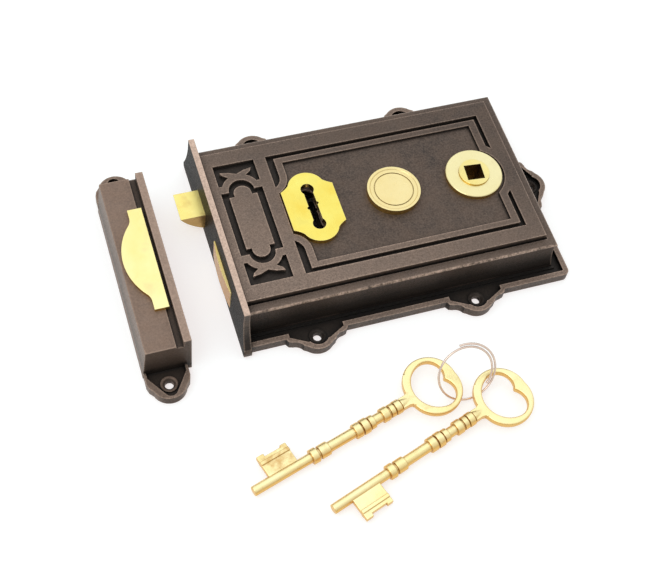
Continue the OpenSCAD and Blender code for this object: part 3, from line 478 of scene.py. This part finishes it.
# the latch bolt gets a brown painted shade on its near side, the dead bolt on its end
boltLook = {
    **plateLook,
    "first": (0.93, 0.76, 0.20, 1),
    "second": (0.98, 0.89, 0.34, 1),
    "brown": (0.56, 0.31, 0.07, 1),
    "lines": {**plateLook["lines"], "scale": 120, "stretch": (1, 3, 3)},
    "spots": {**plateLook["spots"], "scale": 150, "share": 0.35},
    "sides": (),
    "edge": {**plateLook["edge"], "share": 0.2},
    "rough": (0.26, 0.36),
    "metal": 0.75,
    "skin": {**plateLook["skin"], "strength": 0.0},
}
latchLook = {
    **boltLook,
    "material": "brassLatch",
    "sides": ({"towards": (0, -1, 0), "span": (0.6, 0.9), "tint": (0.46, 0.25, 0.08, 1), "share": 0.85},),
}
dress("latch_head", filedMetal(latchLook))

deadBoltLook = {
    **boltLook,
    "material": "brassDeadBolt",
    "first": (1.0, 0.78, 0.26, 1),
    "second": (1.0, 0.84, 0.36, 1),
    "spots": {**boltLook["spots"], "share": 0.0},
    "sides": ({"towards": (-1, 0, 0), "span": (0.6, 0.9), "tint": (0.80, 0.38, 0.06, 1), "share": 1.0},),
    "metal": 0.1,
}
dress("dead_bolt_head", filedMetal(deadBoltLook))
print("bolts dressed")


def keyRound(look, box):
    # the bow's rims are well rounded, the collars and the bit only eased
    bowFrom = box[1].x - look["bow"] * mm

    def size(edge):
        middle = (edge.verts[0].co + edge.verts[1].co) / 2
        return look["bowRound"] if middle.x > bowFrom else look["round"]
    return size


keyLook = {
    **plateLook,
    "first": (0.97, 0.85, 0.40, 1),
    "second": (1.0, 0.95, 0.56, 1),
    "brown": (0.62, 0.36, 0.11, 1),
    "deep": (0.40, 0.20, 0.04, 1),
    "spots": {**plateLook["spots"], "scale": 260, "share": 0.3},
    # painted shade: all but the keys' tops take an orange-brown tint
    "sides": ({"towards": (0, 0, -1), "span": (-1.0, -0.6), "tint": (0.80, 0.45, 0.11, 1), "share": 0.9},),
    "corner": {**plateLook["corner"], "reach": 1.4, "share": 0.75},
    "rough": (0.24, 0.36),
    "metal": 0.8,
    "skin": {**plateLook["skin"], "edge": 0.25},
    "weld": 0.001, "sharp": 30, "crease": 40, "steps": 3,
    "bow": 23.5, "bowRound": 0.8, "round": 0.3,
}
# the first key's bit is stained
key1Look = {
    **keyLook,
    "name": "keySkin1",
    "material": "brassKey1",
    "stain": {"at": (-75.8, -100.5, 3), "reach": 9, "full": 5.4, "share": 0.8,
              "scale": 390, "detail": 5, "roughness": 0.55, "span": (0.3, 0.65)},
}
key2Look = {**keyLook, "name": "keySkin2", "material": "brassKey2"}
for node, look in (("key_1", key1Look), ("key_2", key2Look)):
    smoothCopy(node, look, keyRound(look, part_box(node)), filedMetal(look))
print("keys rounded")

# steel for the inside, and a warmer wire for the ring and the springs
steelLook = {
    **plateLook,
    "material": "steel",
    "first": (0.42, 0.42, 0.43, 1),
    "second": (0.5, 0.5, 0.5, 1),
    "brown": (0.25, 0.22, 0.20, 1),
    "bright": (0.7, 0.7, 0.7, 1),
    "deep": (0.05, 0.045, 0.04, 1),
    "lines": {**plateLook["lines"], "stretch": (1, 8, 1)},
    "spots": {**plateLook["spots"], "share": 0.3},
    "sides": (),
}
wireLook = {
    **steelLook,
    "material": "wire",
    "first": (0.80, 0.64, 0.55, 1),
    "second": (0.86, 0.73, 0.64, 1),
    # painted shade on the wire's underside
    "sides": ({"towards": (0, 0, -1), "span": (-0.4, 0.4), "tint": (0.52, 0.38, 0.32, 1), "share": 0.8},),
    "edge": {**steelLook["edge"], "share": 0.0},
    "corner": {**steelLook["corner"], "share": 0.0},
    "rough": (0.18, 0.28),
    "metal": 0.8,
}
steel = filedMetal(steelLook)
wire = filedMetal(wireLook)

# the key ring: a flat spiral of a little over one turn, tilted up on the keys
ringLook = {
    "name": "ringWire", "wire": 1.0, "resolution": 4, "radius": 12.65, "gap": 0.45,
    "turns": 1.4, "start": 320, "step": 4, "tilt": 55.6, "at": (10.05, -88.35, 11.18),
}
pitch = ringLook["wire"] + ringLook["gap"]
tiltUp = Matrix.Rotation(math.radians(ringLook["tilt"]), 3, "X")
ringPath = []
for t in range(0, int(fullTurn * ringLook["turns"]) + 1, ringLook["step"]):
    reach = ringLook["radius"] - pitch * ringLook["turns"] / 2 + pitch * t / fullTurn
    around = math.radians(t + ringLook["start"])
    flat = Vector((reach * math.cos(around), reach * math.sin(around), 0))
    ringPath.append(tiltUp @ flat + Vector(ringLook["at"]))
wireTube("key_ring", ringLook, ringPath, wire)
print("ring drawn")

for node in ("back_plate", "back_plate_screws", "latch_tail", "latch_stud", "latch_guide_post",
             "dead_bolt_tail", "bolt_stump", "lever_pivot"):
    dress(node, steel)

# the latch spring, a coil of wire with its own mesh
coilLook = {
    "name": "latchCoil", "wire": 0.8, "resolution": 4, "radius": 2.3, "turns": 9, "step": 15,
    "length": 24.4, "at": (-50.2, 21.3, 10.4), "joint": "latch_slide", "keep": 0.55,
}
coilTurn = fullTurn * coilLook["turns"]
coilPath = []
for t in range(0, coilTurn + 1, coilLook["step"]):
    around = math.radians(t)
    winding = Vector((coilLook["length"] * t / coilTurn,
                      coilLook["radius"] * math.cos(around),
                      coilLook["radius"] * math.sin(around)))
    coilPath.append(Vector(coilLook["at"]) + winding)
coil = wireTube("latch_spring", coilLook, coilPath, wire)
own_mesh(coil)

# the levers' leaf springs, copies with their edges slightly rounded, each with its own mesh
leafLook = {"weld": 0.001, "sharp": 30, "crease": 40, "steps": 2, "round": 0.12, "leverEdge": -30.0}
leaf1Look = {**leafLook, "name": "leverLeaf1", "joint": "lever_1_lift", "keep": 0.35}
leaf2Look = {**leafLook, "name": "leverLeaf2", "joint": "lever_2_lift", "keep": 0.48}
for node, look in (("lever_1_spring", leaf1Look), ("lever_2_spring", leaf2Look)):
    leaf = smoothCopy(node, look, lambda edge: leafLook["round"], wire)
    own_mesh(leaf)

leverLook = {**boltLook, "material": "brassLever"}
leverBrass = filedMetal(leverLook)
for node in ("lever_1", "lever_2"):
    dress(node, leverBrass)
print("inside dressed")


def seenRays(tree):
    # 1 for what the camera sees, straight or in a mirror
    ray = addNode(tree, "ShaderNodeLightPath")
    seen = maths(tree, "ADD", ray.outputs["Is Camera Ray"], ray.outputs["Is Glossy Ray"])
    return maths(tree, "ADD", seen, ray.outputs["Is Transmission Ray"])


def paperFloor(look):
    material, tree, shader = newMaterial("floorPaper")
    seen = seenRays(tree)
    plug(tree, shader.inputs["Base Color"], blendColour(tree, seen, look["bounce"], look["tint"]))
    plug(tree, shader.inputs["Roughness"], look["roughness"])
    plug(tree, shader.inputs["Specular IOR Level"], look["specular"])
    plug(tree, shader.inputs["Emission Color"], look["glow"])
    plug(tree, shader.inputs["Emission Strength"], times(tree, seen, look["lift"]))
    mesh = bpy.data.meshes.new("floor")
    work = bmesh.new()
    bmesh.ops.create_grid(work, x_segments=1, y_segments=1, size=look["half"] * mm,
                          matrix=Matrix.Translation((0, 0, -look["drop"] * mm)))
    work.to_mesh(mesh)
    work.free()
    mesh.materials.append(material)
    addPiece("floor", mesh)


# white paper: it glows where it is seen, and throws back less light than it shows
floorLook = {
    "half": 3000, "drop": 0.3, "roughness": 0.9, "specular": 0.05, "lift": 0.69,
    "tint": (0.38, 0.52, 0.54, 1), "bounce": (0.52, 0.48, 0.45, 1), "glow": (1.0, 0.86, 0.84, 1),
}
paperFloor(floorLook)


def lightTent(look):
    world = bpy.data.worlds.new("studio")
    scene.world = world
    world.use_nodes = True
    tree = world.node_tree
    coords = addNode(tree, "ShaderNodeTexCoord")
    along = vectorMaths(tree, "DOT_PRODUCT", coords.outputs["Generated"], look["towards"])
    cast = ramp(tree, along, look["span"], look["cast"])
    shown = ramp(tree, along, look["span"], look["shown"])
    strength = addNode(tree, "ShaderNodeMix", Factor=seenRays(tree), A=cast, B=shown)
    air = tree.nodes["Background"]
    plug(tree, air.inputs["Color"], look["tint"])
    plug(tree, air.inputs["Strength"], strength.outputs["Result"])


# a soft tent of light that is brightest overhead and behind, and dim towards the viewer
tentLook = {
    "towards": (0.10, 0.42, 0.90), "span": (-0.45, 0.85), "cast": (0.14, 1.0), "shown": (0.6, 1.0),
    "tint": (1, 0.985, 0.97, 1),
}
lightTent(tentLook)


def softbox(look):
    light = bpy.data.lights.new(look["name"], "AREA")
    light.shape = "RECTANGLE"
    light.size = look["width"] * mm
    light.size_y = look["length"] * mm
    light.energy = look["power"]
    lamp = addPiece(look["name"], light)
    lamp.location = Vector(look["at"]) * mm
    lamp.rotation_euler = (Vector(look["towards"]) - Vector(look["at"])).to_track_quat("-Z", "Y").to_euler()


topBox = {
    "name": "topBox", "at": (-150, 250, 900), "towards": (0, -20, 0),
    "width": 1200, "length": 1200, "power": 0.9,
}
sideBox = {
    "name": "sideBox", "at": (-500, -250, 750), "towards": (0, -20, 0),
    "width": 600, "length": 600, "power": 1.8,
}
softbox(topBox)
softbox(sideBox)


def fittedCamera(look):
    angle = Vector(look["turn"])
    right, down, ahead = Matrix.Rotation(angle.length, 3, angle.normalized())
    spot = -(Matrix((right, down, ahead)).transposed() @ Vector(look["shift"]))
    spot.x -= look["origin"]
    camera = bpy.data.cameras.new("camera")
    camera.sensor_fit = "HORIZONTAL"
    camera.sensor_width = look["sensor"]
    camera.lens = look["focal"] * look["sensor"] / look["width"]
    camera.clip_start = look["clip"] * mm
    eye = addPiece("camera", camera)
    turn = Matrix((right, -down, -ahead)).transposed().to_4x4()
    eye.matrix_world = Matrix.Translation(spot * mm) @ turn
    scene.camera = eye


# fitted to the photograph: focal length and width in pixels, the turn as an axis times its angle
cameraFit = {
    "focal": 1257.490672428906, "width": 665, "sensor": 36, "clip": 10, "origin": 73.0,
    "turn": (2.586339778329061, -0.3673786761633827, 0.23137975190591162),
    "shift": (-50.13823125627253, -16.624795390919115, 560.914881972893),
}
fittedCamera(cameraFit)
scene.view_settings.view_transform = "Standard"
print("stage set")
